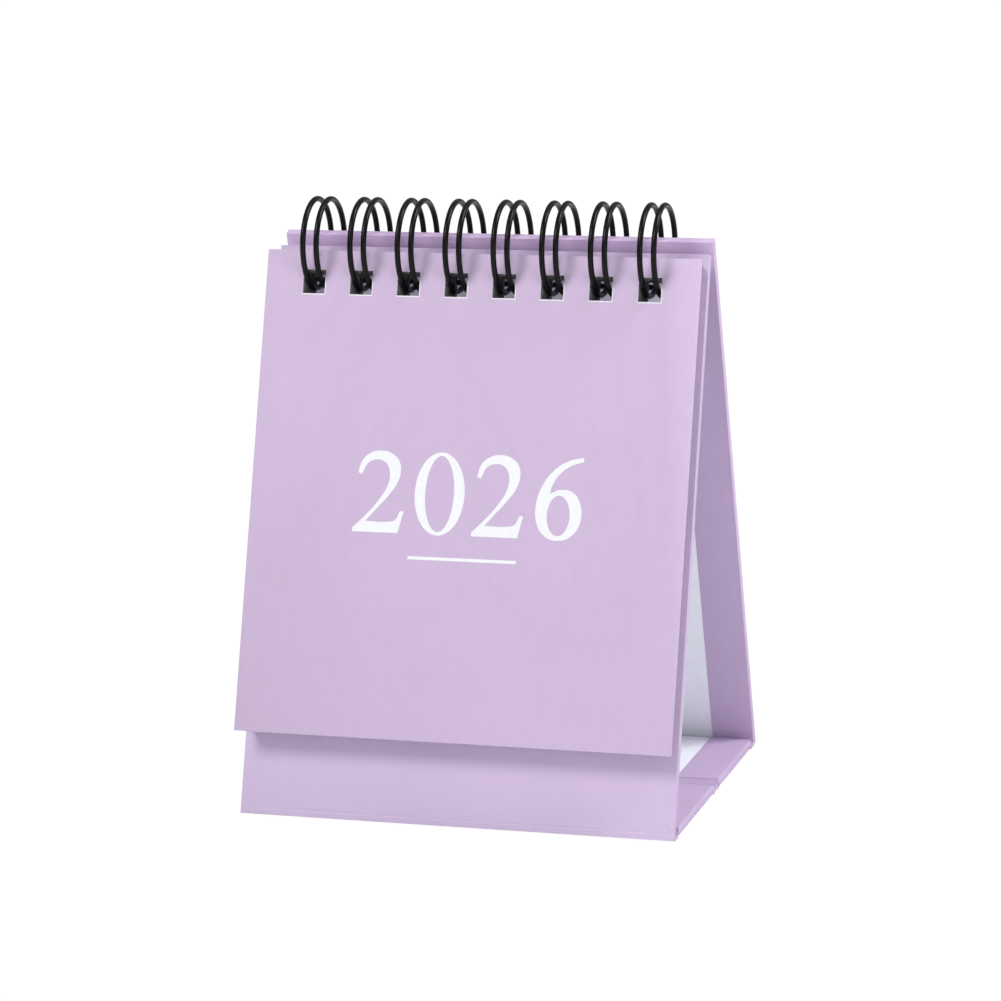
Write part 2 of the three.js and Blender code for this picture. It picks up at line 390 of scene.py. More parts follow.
@dataclass
class Finishes:
    """Every material of the calendar, built once."""

    wrap: bpy.types.Material = field(
        default_factory=lambda: PaperFinish("lilac_wrap", srgb(203, 180, 214), mottle=0.03).build())
    # The front wrap carries a painted highlight along its foot line and its corner wrinkles.
    front_wrap: bpy.types.Material = field(
        default_factory=lambda: PaperFinish(
            "lilac_wrap_wrinkle_highlight", srgb(199, 180, 210), mottle=0.02, foot_line=1.6 * MM,
            worn_corner=(38.1 * MM, -31.2 * MM, 2.4 * MM)).build())
    cover: bpy.types.Material = field(
        default_factory=lambda: PaperFinish("lilac_cover", srgb(197, 177, 206), mottle=0.015, waviness=0.06).build())
    lining: bpy.types.Material = field(
        default_factory=lambda: PaperFinish("white_lining", srgb(243, 245, 252), waviness=0.16).build())
    leaf: bpy.types.Material = field(
        default_factory=lambda: PaperFinish("white_leaf", srgb(243, 242, 244), waviness=0.05).build())
    core: bpy.types.Material = field(
        default_factory=lambda: PaperFinish("paper_core", srgb(240, 234, 243), tooth=0.4).build())
    # Painted shade and lilac reflection: a mid-dark lilac on the white leaves' cut edges, which sit in the recess
    # between cover and board.
    cut_edge: bpy.types.Material = field(
        default_factory=lambda: PaperFinish("lilac_leaf_edge_shade", srgb(186, 168, 200), tooth=0.4).build())
    # Painted shade: near-black on the walls of the punched holes, where the wire shades them.
    hole_edge: bpy.types.Material = field(
        default_factory=lambda: PaperFinish("painted_shade_hole_edge", srgb(22, 18, 25), specular=0.05).build())
    greyboard: bpy.types.Material = field(default_factory=lambda: GreyboardFinish().build())
    enamel: bpy.types.Material = field(default_factory=lambda: EnamelFinish().build())
    white_ink: bpy.types.Material = field(
        default_factory=lambda: InkFinish("white_ink", srgb(232, 233, 237)).build())
    grey_ink: bpy.types.Material = field(
        default_factory=lambda: InkFinish("grey_ink", srgb(88, 82, 98)).build())
    lilac_ink: bpy.types.Material = field(
        default_factory=lambda: InkFinish("lilac_ink", srgb(168, 142, 190)).build())


def deselect() -> None:
    """Leaves nothing selected and no object active in edit mode."""
    if bpy.context.object is not None and bpy.context.object.mode != "OBJECT":
        bpy.ops.object.mode_set(mode="OBJECT")
    bpy.ops.object.select_all(action="DESELECT")


def activate(piece: bpy.types.Object) -> None:
    """Selects one object alone and makes it active."""
    deselect()
    piece.select_set(True)
    bpy.context.view_layer.objects.active = piece


def settle(piece: bpy.types.Object, name: str) -> bpy.types.Object:
    """Names a piece and moves its place into its mesh.

    Args:
        piece: The mesh object, wherever it stands.
        name: Its name from now on.

    Returns:
        The same object, at the origin and unturned.
    """
    activate(piece)
    bpy.ops.object.transform_apply(location=True, rotation=True, scale=True)
    piece.name = name
    piece.data.name = name
    return piece


def merged_copy(node: bpy.types.Object, name: str) -> bpy.types.Object:
    """Copies a construction node's mesh as one clean skin of flat faces.

    Args:
        node: The node to copy.
        name: The copy's name.

    Returns:
        The copy, with its doubles merged and its flat faces joined.
    """
    piece = bpy.data.objects.new(name, node.data.copy())
    bpy.context.scene.collection.objects.link(piece)
    activate(piece)
    bpy.ops.object.mode_set(mode="EDIT")
    bpy.ops.mesh.select_all(action="SELECT")
    bpy.ops.mesh.remove_doubles(threshold=0.002 * MM)
    bpy.ops.mesh.dissolve_limited(angle_limit=math.radians(1))
    bpy.ops.object.mode_set(mode="OBJECT")
    piece.data.materials.clear()
    return piece


def soften(piece: bpy.types.Object, width: float, segments: int, angle: float = 30) -> None:
    """Rounds a piece's edges with an applied bevel and smooths what is nearly flat.

    Args:
        piece: The mesh object.
        width: The bevel's width in metres.
        segments: Steps in the rounding.
        angle: Least angle of an edge that is rounded, in degrees.
    """
    activate(piece)
    bevel = piece.modifiers.new("rounded", "BEVEL")
    bevel.width = width
    bevel.segments = segments
    bevel.limit_method = "ANGLE"
    bevel.angle_limit = math.radians(angle)
    bevel.harden_normals = False
    bpy.ops.object.modifier_apply(modifier=bevel.name)
    bpy.ops.object.shade_smooth_by_angle(angle=math.radians(40))


def paint_faces(piece: bpy.types.Object, materials: Sequence[bpy.types.Material],
                choose: Callable[[bpy.types.MeshPolygon], int]) -> None:
    """Gives each face of a piece one of several materials.

    Args:
        piece: The mesh object.
        materials: The materials, in slot order.
        choose: Says which slot a face takes.
    """
    piece.data.materials.clear()
    for material in materials:
        piece.data.materials.append(material)
    for polygon in piece.data.polygons:
        polygon.material_index = choose(polygon)


class TentPlane:
    """The slope of a leaning side, through the loops' middle."""

    def __init__(self, side: Side, middle: Vector) -> None:
        """Works out the slope's directions.

        Args:
            side: Front or back.
            middle: The loops' middle, in metres.
        """
        lean = math.radians(FRONT_LEAN if side is Side.FRONT else BACK_LEAN)
        sign = 1 if side is Side.FRONT else -1
        self.middle = middle
        self.up = Vector((0, sign * math.sin(lean), math.cos(lean)))
        self.outward = Vector((0, -sign * math.cos(lean), math.sin(lean)))
        self.across = self.up.cross(self.outward)

    def frame_at(self, across: float, up: float, outward: float) -> Matrix:
        """A placing matrix on the slope.

        Args:
            across: Metres across from the middle.
            up: Metres up the slope from the loops' middle.
            outward: Metres along the outward normal.

        Returns:
            A matrix whose X runs across, Y up the slope and Z outward.
        """
        place = self.middle + self.across * across + self.up * up + self.outward * outward
        turn = Matrix((self.across, self.up, self.outward)).transposed().to_4x4()
        return Matrix.Translation(place) @ turn


@dataclass
class WireBinding:
    """The black twin-loop wire that the leaves and both boards hang on."""

    middle: Vector
    finishes: Finishes
    loop_steps: int = 56
    corner_steps: int = 6
    tip_steps: int = 14
    sides: int = 5

    def route(self) -> list[Vector]:
        """The wire's middle line.

        Returns:
            Points in metres, from one cut end to the other.
        """
        half = LOOP_SPACING / 2
        corner_turn = math.degrees(CORNER_RADIUS / LOOP_RADIUS)
        tip_turn = math.degrees(half / LOOP_RADIUS)
        tip_start = LINK_ANGLE + TIP_TO_LINK + tip_turn - 360
        loop_start = LINK_ANGLE - corner_turn
        path: list[tuple[float, float]] = []
        for pair in range(PAIR_COUNT):
            x = (pair - (PAIR_COUNT - 1) / 2) * WIRE_PITCH
            if pair == 0:
                path.append((x - half - CORNER_RADIUS - CUT_END, LINK_ANGLE))
            path += self.corner(x - half, LINK_ANGLE, corner_turn, entering=True)
            path += [(x - half, loop_start + (tip_start - loop_start) * i / self.loop_steps)
                     for i in range(1, self.loop_steps)]
            for i in range(self.tip_steps + 1):
                turn = math.pi * i / self.tip_steps
                path.append((x - half * math.cos(turn), tip_start - tip_turn * math.sin(turn)))
            path += [(x + half, loop_start + (tip_start - loop_start) * i / self.loop_steps)
                     for i in range(self.loop_steps - 1, 0, -1)]
            path += self.corner(x + half, LINK_ANGLE, corner_turn, entering=False)
            if pair == PAIR_COUNT - 1:
                path.append((x + half + CORNER_RADIUS + CUT_END, LINK_ANGLE))
        return [self.on_cylinder(x, angle) for x, angle in path]

    def corner(self, x: float, link: float, corner_turn: float, entering: bool) -> list[tuple[float, float]]:
        """A round bend between a straight link and a loop.

        Args:
            x: The loop's place across, in millimetres.
            link: The links' angle, in degrees.
            corner_turn: The bend's reach round the cylinder, in degrees.
            entering: True where the wire comes off a link into a loop.

        Returns:
            Places across and angles.
        """
        steps = [math.pi / 2 * i / self.corner_steps for i in range(self.corner_steps + 1)]
        if entering:
            return [(x - CORNER_RADIUS * (1 - math.sin(t)), link - corner_turn * (1 - math.cos(t))) for t in steps]
        return [(x + CORNER_RADIUS * (1 - math.cos(t)), link - corner_turn * (1 - math.sin(t))) for t in steps]

    def on_cylinder(self, x: float, angle: float) -> Vector:
        """A point on the loops' cylinder, in metres."""
        turn = math.radians(angle)
        around = Vector((x, LOOP_RADIUS * math.cos(turn), LOOP_RADIUS * math.sin(turn)))
        return self.middle + around * MM

    def build(self) -> bpy.types.Object:
        """Models the wire as one round tube with closed, flat cut ends.

        Returns:
            The wire's mesh object.
        """
        curve = bpy.data.curves.new("wire_route", "CURVE")
        curve.dimensions = "3D"
        points = self.route()
        spline = curve.splines.new("POLY")
        spline.points.add(len(points) - 1)
        for spot, point in zip(spline.points, points):
            spot.co = (*point, 1)
        curve.bevel_depth = ENAMELLED_DIAMETER / 2 * MM
        curve.bevel_resolution = self.sides
        curve.use_fill_caps = True
        piece = bpy.data.objects.new("wire_route", curve)
        bpy.context.scene.collection.objects.link(piece)
        activate(piece)
        bpy.ops.object.convert(target="MESH")
        piece = bpy.context.object
        bpy.ops.object.mode_set(mode="EDIT")
        bpy.ops.mesh.select_all(action="SELECT")
        bpy.ops.mesh.remove_doubles(threshold=0.001 * MM)
        bpy.ops.mesh.normals_make_consistent(inside=False)
        bpy.ops.object.mode_set(mode="OBJECT")
        settle(piece, "twin_loop_wire")
        bpy.ops.object.shade_smooth_by_angle(angle=math.radians(50))
        piece.data.materials.clear()
        piece.data.materials.append(self.finishes.enamel)
        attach(piece, "root")
        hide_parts("wire_binding")
        return piece


@dataclass
class WrappedPanel:
    """One board of the tent: its wrap with soft folded edges, its lining and the greyboard inside."""

    name: str
    body: str
    finishes: Finishes
    fold_width: float = 0.45 * MM
    fold_segments: int = 4

    def build(self) -> list[bpy.types.Object]:
        """Models the wrap and the lining, and dresses the board.

        Returns:
            The new pieces.
        """
        nodes = bpy.data.objects
        wrap = merged_copy(nodes[f"{self.name}_wrap"], f"{self.name}_paper")
        self.round_outside(wrap)
        # Only the front board's wrap takes the finish with painted highlight on its creases.
        wrinkle_highlight = self.name == Side.FRONT.value
        outside = self.finishes.front_wrap if wrinkle_highlight else self.finishes.wrap
        # The walls of the punched holes take a near-black painted shade.
        paint_faces(wrap, [outside, self.finishes.hole_edge], self.wall_finder(wrap))
        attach(wrap, self.body)
        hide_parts(f"{self.name}_wrap")
        lining = merged_copy(nodes[f"{self.name}_lining"], f"{self.name}_endpaper")
        soften(lining, 0.05 * MM, 2)
        lining.data.materials.append(self.finishes.lining)
        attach(lining, self.body)
        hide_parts(f"{self.name}_lining")
        board = nodes[f"{self.name}_board"]
        board.data.materials.clear()
        board.data.materials.append(self.finishes.greyboard)
        return [wrap, lining]

    def wall_finder(self, wrap: bpy.types.Object) -> Callable[[bpy.types.MeshPolygon], int]:
        """Makes the test that tells the walls of the punched holes, painted dark as shade, from all other faces.

        Args:
            wrap: The wrap's mesh object.

        Returns:
            A function that gives slot 1, the painted shade, for a wall and 0 for any other face.
        """
        points = wrap.data.vertices
        leaning = self.name in (Side.FRONT.value, Side.BACK.value)

        def slot(polygon: bpy.types.MeshPolygon) -> int:
            """Slot 1, painted shade, for a small face in the band of holes that doesn't face forward or back."""
            places = [points[i].co.x for i in polygon.vertices]
            small = max(places) - min(places) < HOLE_SPAN and abs(polygon.center.x) < HOLE_REACH
            inside = HOLE_BAND[0] < polygon.center.z < HOLE_BAND[1]
            return 1 if leaning and small and inside and abs(polygon.normal.y) < 0.9 else 0

        return slot

    def round_outside(self, wrap: bpy.types.Object) -> None:
        """Rounds the folds of the paper, more at the long outer edges than at the punched holes."""
        points = wrap.data.vertices
        side = max(abs(point.co.x) for point in points)
        weights = wrap.data.attributes.new("bevel_weight_edge", "FLOAT", "EDGE")
        for edge in wrap.data.edges:
            start, stop = (points[i].co for i in edge.vertices)
            outer = min(abs(start.x), abs(stop.x)) > side - 0.01 * MM
            crosswise = abs(start.x - stop.x) > 2 * side - 0.02 * MM
            long_side = outer and not crosswise and (stop - start).length > LONG_EDGE
            weights.data[edge.index].value = 1.0 if long_side or crosswise else 0.0
        activate(wrap)
        bevel = wrap.modifiers.new("folds", "BEVEL")
        bevel.width = self.fold_width
        bevel.segments = self.fold_segments
        bevel.limit_method = "WEIGHT"
        bpy.ops.object.modifier_apply(modifier=bevel.name)
        soften(wrap, 0.05 * MM, 2)


@dataclass
class CreaseStrip:
    """Folded paper that closes a crease, white where the lining crosses it.

    The profile lists places along Y and Z in millimetres: first the seen side, then the underside back.
    """

    name: str
    profile: Sequence[tuple[float, float]]
    seen: int
    finishes: Finishes
    reach: float = 38.12
    lined: float = 30.6

    def build(self) -> bpy.types.Object:
        """Models the strip along X from its profile.

        Returns:
            The strip's mesh object, riding on nothing yet.
        """
        stations = (-self.reach, -self.lined, self.lined, self.reach)
        count = len(self.profile)
        vertices = [Vector((x, y, z)) * MM for x in stations for y, z in self.profile]
        faces: list[tuple[int, ...]] = [tuple(range(count))]
        white = [False]
        for bay in range(len(stations) - 1):
            for i in range(count):
                j = (i + 1) % count
                start, after = bay * count, (bay + 1) * count
                faces.append((start + i, after + i, after + j, start + j))
                white.append(bay == 1 and i < self.seen)
        last = (len(stations) - 1) * count
        faces.append(tuple(last + i for i in reversed(range(count))))
        white.append(False)
        mesh = bpy.data.meshes.new(self.name)
        mesh.from_pydata(vertices, [], faces)
        piece = bpy.data.objects.new(self.name, mesh)
        bpy.context.scene.collection.objects.link(piece)
        mesh.materials.append(self.finishes.wrap)
        mesh.materials.append(self.finishes.lining)
        for polygon, lined in zip(mesh.polygons, white):
            polygon.material_index = 1 if lined else 0
        activate(piece)
        bpy.ops.object.mode_set(mode="EDIT")
        bpy.ops.mesh.select_all(action="SELECT")
        bpy.ops.mesh.normals_make_consistent(inside=False)
        bpy.ops.object.mode_set(mode="OBJECT")
        bpy.ops.object.shade_smooth_by_angle(angle=math.radians(35))
        return piece


def crease_strips(finishes: Finishes) -> list[bpy.types.Object]:
    """Closes the two foot creases and the crease in the middle of the base.

    Args:
        finishes: The calendar's materials.

    Returns:
        The four strips.
    """
    mirror = 2 * BASE_MIDDLE
    foot = [(-29.74, 0.74), (-29.35, 0.66), (-28.9, 0.64), (-28.45, 0.80), (-28.15, 1.20), (-28.0, 1.62),
            (-27.75, 1.78), (-27.3, 1.79), (-27.3, 1.755), (-27.93, 1.74), (-27.93, 0.03), (-28.3, 0.03),
            (-28.38, 0.27), (-29.86, 0.37)]
    middle = [(-1.5, 1.79), (-1.1, 1.78), (-0.75, 1.55), (-0.35, 1.22), (0.1, 1.04), (BASE_MIDDLE - 0.02, 1.0),
              (BASE_MIDDLE - 0.02, 0.3), (0.1, 0.26), (-0.5, 0.12), (-1.03, 0.02), (-1.03, 1.72), (-1.5, 1.755)]
    back_foot = [(mirror - y, z) for y, z in foot]
    back_middle = [(mirror - y, z) for y, z in middle]
    strips = [
        CreaseStrip("front_foot_crease", foot, 7, finishes).build(),
        CreaseStrip("rear_foot_crease", back_foot, 7, finishes).build(),
        CreaseStrip("base_crease_front_half", middle, 5, finishes).build(),
        CreaseStrip("base_crease_rear_half", back_middle, 5, finishes).build(),
    ]
    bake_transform(strips[0])
    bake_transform(strips[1])
    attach(strips[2], "base_front_panel")
    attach(strips[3], "base_rear_panel")
    return strips


@dataclass
class CoverPrint:
    """The year and the rule printed on the cover."""

    plane: TentPlane
    finishes: Finishes
    outward: float
    foot: float
    digit_height: float = 13.7 * MM
    baseline: float = 35.1 * MM
    advance: float = 0.768
    boldness: float = 0.13 * MM
    stretch: float = 1.04
    ink: float = 0.02 * MM

    def glyphs(self) -> dict[str, list[list[tuple[float, float, int]]]]:
        """Outlines of the numerals, in digit heights.

        Returns:
            For each numeral its contours, as places across and up with 1 at a sharp corner.
        """
        two = [[
            (0.035, 0.735, 1), (0.075, 0.875, 0), (0.165, 0.965, 0), (0.295, 1.0, 0), (0.435, 0.965, 0),
            (0.525, 0.87, 0), (0.545, 0.745, 0), (0.51, 0.61, 0), (0.415, 0.46, 0), (0.275, 0.29, 0),
            (0.135, 0.12, 1), (0.44, 0.12, 0), (0.525, 0.145, 0), (0.58, 0.255, 1), (0.61, 0.255, 1),
            (0.555, 0.0, 1), (0.005, 0.0, 1), (0.005, 0.035, 1), (0.175, 0.215, 0), (0.32, 0.405, 0),
            (0.405, 0.56, 0), (0.43, 0.70, 0), (0.405, 0.82, 0), (0.335, 0.89, 0), (0.24, 0.905, 0),
            (0.14, 0.86, 0), (0.065, 0.72, 1),
        ]]
        nought = [self.oval(0.315, 0.4975, 0.3, 0.5075), self.oval(0.315, 0.4975, 0.187, 0.482)]
        six = [
            [(0.565, 1.0, 1), (0.395, 0.955, 0), (0.215, 0.82, 0), (0.085, 0.61, 0), (0.035, 0.38, 0),
             (0.065, 0.17, 0), (0.165, 0.035, 0), (0.31, -0.01, 0), (0.465, 0.045, 0), (0.56, 0.18, 0),
             (0.58, 0.335, 0), (0.54, 0.485, 0), (0.445, 0.585, 0), (0.33, 0.60, 0), (0.235, 0.57, 0),
             (0.175, 0.525, 1), (0.215, 0.68, 0), (0.30, 0.815, 0), (0.42, 0.91, 0), (0.575, 0.97, 1)],
            self.oval(0.308, 0.288, 0.148, 0.258),
        ]
        return {"2": two, "0": nought, "6": six}

    @staticmethod
    def oval(x: float, y: float, half_width: float, half_height: float) -> list[tuple[float, float, int]]:
        """A smooth oval's outline in short straight steps.

        Args:
            x: Its middle across.
            y: Its middle up.
            half_width: Half its width.
            half_height: Half its height.

        Returns:
            Places across and up, each with 1 for a corner between straight steps.
        """
        turns = [math.tau / OVAL_STEPS * i for i in range(OVAL_STEPS)]
        return [(x + half_width * math.sin(t), y + half_height * math.cos(t), 1) for t in turns]

    def numeral(self, contours: list[list[tuple[float, float, int]]], across: float) -> bpy.types.Object:
        """One numeral as a flat filled shape, turned into a thin film of ink.

        Args:
            contours: The numeral's outlines.
            across: Its left edge, in metres from the cover's middle.

        Returns:
            The numeral's mesh object, in the cover's plane.
        """
        curve = bpy.data.curves.new("numeral", "CURVE")
        curve.dimensions = "2D"
        curve.fill_mode = "BOTH"
        curve.resolution_u = 10
        curve.extrude = self.ink / 2
        curve.offset = self.boldness
        for contour in contours:
            spline = curve.splines.new("BEZIER")
            spline.bezier_points.add(len(contour) - 1)
            spline.use_cyclic_u = True
            for knot, (x, y, sharp) in zip(spline.bezier_points, contour):
                knot.co = (x * self.stretch * self.digit_height, y * self.digit_height, 0)
                knot.handle_left_type = knot.handle_right_type = "VECTOR" if sharp else "AUTO"
        piece = bpy.data.objects.new("numeral", curve)
        bpy.context.scene.collection.objects.link(piece)
        activate(piece)
        bpy.ops.object.convert(target="MESH")
        piece = bpy.context.object
        up = self.foot + self.baseline
        piece.matrix_world = self.plane.frame_at(across, up, self.outward + self.ink / 2)
        return settle(piece, "numeral")

    def build(self) -> bpy.types.Object:
        """Prints the year and a plain rule on the cover.

        Returns:
            The film of ink as one mesh object.
        """
        shapes = self.glyphs()
        year = str(SHOWN_YEAR)
        step = self.advance * self.digit_height
        width = step * (len(year) - 1) + 0.56 * self.digit_height
        pieces = [self.numeral(shapes[digit], -width / 2 + i * step) for i, digit in enumerate(year)]
        pieces.append(self.rule())
        activate(pieces[0])
        for piece in pieces[1:]:
            piece.select_set(True)
        bpy.ops.object.join()
        ink = settle(bpy.context.object, "cover_year_print")
        bpy.ops.object.mode_set(mode="EDIT")
        bpy.ops.mesh.select_all(action="SELECT")
        bpy.ops.mesh.remove_doubles(threshold=0.0005 * MM)
        bpy.ops.object.mode_set(mode="OBJECT")
        ink.data.materials.clear()
        ink.data.materials.append(self.finishes.white_ink)
        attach(ink, "cover_leaf_body")
        return ink

    def rule(self) -> bpy.types.Object:
        """A short plain rule under the year."""
        bpy.ops.mesh.primitive_cube_add(size=1)
        piece = bpy.context.object
        place = self.plane.frame_at(0, self.foot + 30.9 * MM, self.outward + self.ink / 2)
        piece.matrix_world = place @ Matrix.Diagonal((19 * MM, 0.55 * MM, self.ink, 1))
        return settle(piece, "rule")


@dataclass
class LeafStack:
    """The cover and the twelve month leaves behind it."""

    plane: TentPlane
    finishes: Finishes
    cover_outer: float = 3.68 * MM
    leaf_pitch: float = 0.42 * MM
    half_width: float = 38.3 * MM
    length: float = 83 * MM
    rim: float = 0.05 * MM
    # Width of the painted highlight along the lit sides of the cover's holes.
    rim_ink: float = 0.15 * MM
    hole: tuple[float, float] = (4.0 * MM, 4.168 * MM)
    hole_margin: float = 5.4 * MM
    trim: float = 1.4 * MM
    ink: float = 0.015 * MM
    column: float = 9.6 * MM
    row: float = 9.0 * MM
    digit_size: float = 4.4 * MM
    stencils: dict[str, tuple[list, list]] = field(default_factory=dict)

    def foot(self) -> float:
        """The leaves' lower edge, in metres up the slope from the loops' middle."""
        low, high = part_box("cover_leaf")
        corner = Vector((0, low.y, low.z)) - self.plane.middle
        return self.plane.up.dot(Vector((0, corner.y, corner.z)))

    def stencil(self, text: str) -> tuple[list, list]:
        """A number's flat shape in the plane, one unit high.

        Args:
            text: The number to draw.

        Returns:
            Its vertices and faces, centred across.
        """
        if text not in self.stencils:
            curve = bpy.data.curves.new("number", "FONT")
            curve.body = text
            curve.align_x = "CENTER"
            curve.resolution_u = 3
            piece = bpy.data.objects.new("number", curve)
            bpy.context.scene.collection.objects.link(piece)
            activate(piece)
            bpy.ops.object.convert(target="MESH")
            piece = bpy.context.object
            mesh = piece.data
            self.stencils[text] = (
                [tuple(v.co) for v in mesh.vertices], [tuple(p.vertices) for p in mesh.polygons])
            bpy.data.objects.remove(piece)
        return self.stencils[text]

    def numbers(self, month: int) -> Iterable[tuple[str, float, float, float]]:
        """The numbers on one month's leaf.

        Args:
            month: 1 to 12.

        Yields:
            Each number with its place across, its place up from the foot and its height.
        """
        yield str(month), 0.0, 60.5 * MM, 11 * MM
        first, days = calendar.monthrange(SHOWN_YEAR, month)
        offset = (first + 1) % 7
        for day in range(1, days + 1):
            cell = offset + day - 1
            across = (cell % 7 - 3) * self.column
            up = 50 * MM - (cell // 7) * self.row
            yield str(day), across, up, self.digit_size

    def print_month(self, month: int) -> bpy.types.Object:
        """Prints a month's leaf: the month's number and a grid of dates.

        Args:
            month: 1 to 12.

        Returns:
            The film of ink as one mesh object.
        """
        vertices: list[Vector] = []
        faces: list[tuple[int, ...]] = []
        outward = self.cover_outer - month * self.leaf_pitch + self.ink
        place = self.plane.frame_at(0, self.foot(), outward)
        for text, across, up, height in self.numbers(month):
            points, shapes = self.stencil(text)
            start = len(vertices)
            vertices += [place @ Vector((across + x * height, up + y * height, 0)) for x, y, _ in points]
            faces += [tuple(start + i for i in shape) for shape in shapes]
        name = f"month_{month:02d}_dates"
        mesh = bpy.data.meshes.new(name)
        mesh.from_pydata(vertices, [], faces)
        piece = bpy.data.objects.new(name, mesh)
        bpy.context.scene.collection.objects.link(piece)
        mesh.materials.append(self.finishes.grey_ink)
        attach(piece, f"month_{month:02d}_body")
        return piece

    def build_cover(self) -> bpy.types.Object:
        """Models the cover: lilac print on its face and outer edges, pale paper core round its holes and on its
        back.

        Returns:
            The cover's mesh object.
        """
        cover = merged_copy(bpy.data.objects["cover_leaf"], "cover_card")
        soften(cover, self.rim, 2)
        outward = self.plane.outward

        def face(polygon: bpy.types.MeshPolygon) -> int:
            """Slot 0 on the printed face and outer edges, 1 round the holes and on the back."""
            facing = polygon.normal.dot(outward)
            if facing > 0.97 or (facing > -0.5 and not self.in_holes(polygon.center)):
                return 0
            return 1

        paint_faces(cover, [self.finishes.cover, self.finishes.core], face)
        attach(cover, "cover_leaf_body")
        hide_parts("cover_leaf")
        return cover

    def print_rims(self) -> bpy.types.Object:
        """Paints the paper's white core along the lower and right edges of the cover's holes: a painted highlight on
        the sides that the light reaches, while the other sides lie in the wire's shade.

        Returns:
            The rims as one thin film.
        """
        vertices: list[Vector] = []
        faces: list[tuple[int, ...]] = []
        wide, tall = self.hole
        foot = self.foot() + self.length - self.hole_margin - tall / 2
        for pair in range(PAIR_COUNT):
            left = (pair - (PAIR_COUNT - 1) / 2) * WIRE_PITCH * MM - wide / 2
            right = left + wide
            for x0, x1, up0, up1 in ((left, right, foot - self.rim_ink, foot),
                                     (right, right + self.rim_ink, foot - self.rim_ink, foot + tall * 0.7)):
                start = len(vertices)
                corners = ((x0, up0), (x1, up0), (x1, up1), (x0, up1))
                vertices += [self.plane.frame_at(x, up, self.cover_outer + self.ink) @ Vector() for x, up in corners]
                faces.append(tuple(range(start, start + 4)))
        mesh = bpy.data.meshes.new("cover_lit_hole_rims")
        mesh.from_pydata(vertices, [], faces)
        piece = bpy.data.objects.new("cover_lit_hole_rims", mesh)
        bpy.context.scene.collection.objects.link(piece)
        # The rims reuse the white ink as a painted highlight of the lit hole edges.
        mesh.materials.append(self.finishes.white_ink)
        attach(piece, "cover_leaf_body")
        return piece

    def in_holes(self, place: Vector) -> bool:
        """Says whether a place lies in the band of punched holes, clear of the outer edges."""
        height = self.plane.up.dot(place - self.plane.middle)
        clear = abs(place.x) < self.half_width - 5 * MM
        return clear and height < self.foot() + self.length - 0.5 * MM and height > self.foot() + 1 * MM

    def build_month(self, month: int) -> bpy.types.Object:
        """Models a month's sheet: trimmed a little narrower than the cover, its cut edges painted mid-dark lilac as
        shade and lilac reflection, its hole walls painted near-black as shade.

        Args:
            month: 1 to 12.

        Returns:
            The sheet's mesh object.
        """
        node = f"month_{month:02d}"
        sheet = merged_copy(bpy.data.objects[node], f"{node}_sheet")
        for point in sheet.data.vertices:
            if abs(point.co.x) > self.half_width - 1 * MM:
                point.co.x -= math.copysign(self.trim, point.co.x)
        outward = self.plane.outward

        def face(polygon: bpy.types.MeshPolygon) -> int:
            """Slot 0 on the two faces, 1 on the outer cut edges (painted shade), 2 in the holes (painted shade)."""
            if abs(polygon.normal.dot(outward)) > 0.5:
                return 0
            return 2 if self.in_holes(polygon.center) else 1

        finishes = self.finishes
        # Cut edges take painted shade with lilac reflection; hole walls take near-black painted shade.
        paint_faces(sheet, [finishes.leaf, finishes.cut_edge, finishes.hole_edge], face)
        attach(sheet, f"{node}_body")
        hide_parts(node)
        return sheet

    def build(self) -> list[bpy.types.Object]:
        """Builds the cover, its print and every month's sheet and print.

        Returns:
            The new pieces.
        """
        pieces = [self.build_cover(), self.print_rims()]
        pieces.append(CoverPrint(self.plane, self.finishes, self.cover_outer, self.foot()).build())
        for month in range(1, MONTHS + 1):
            pieces += [self.build_month(month), self.print_month(month)]
        return pieces


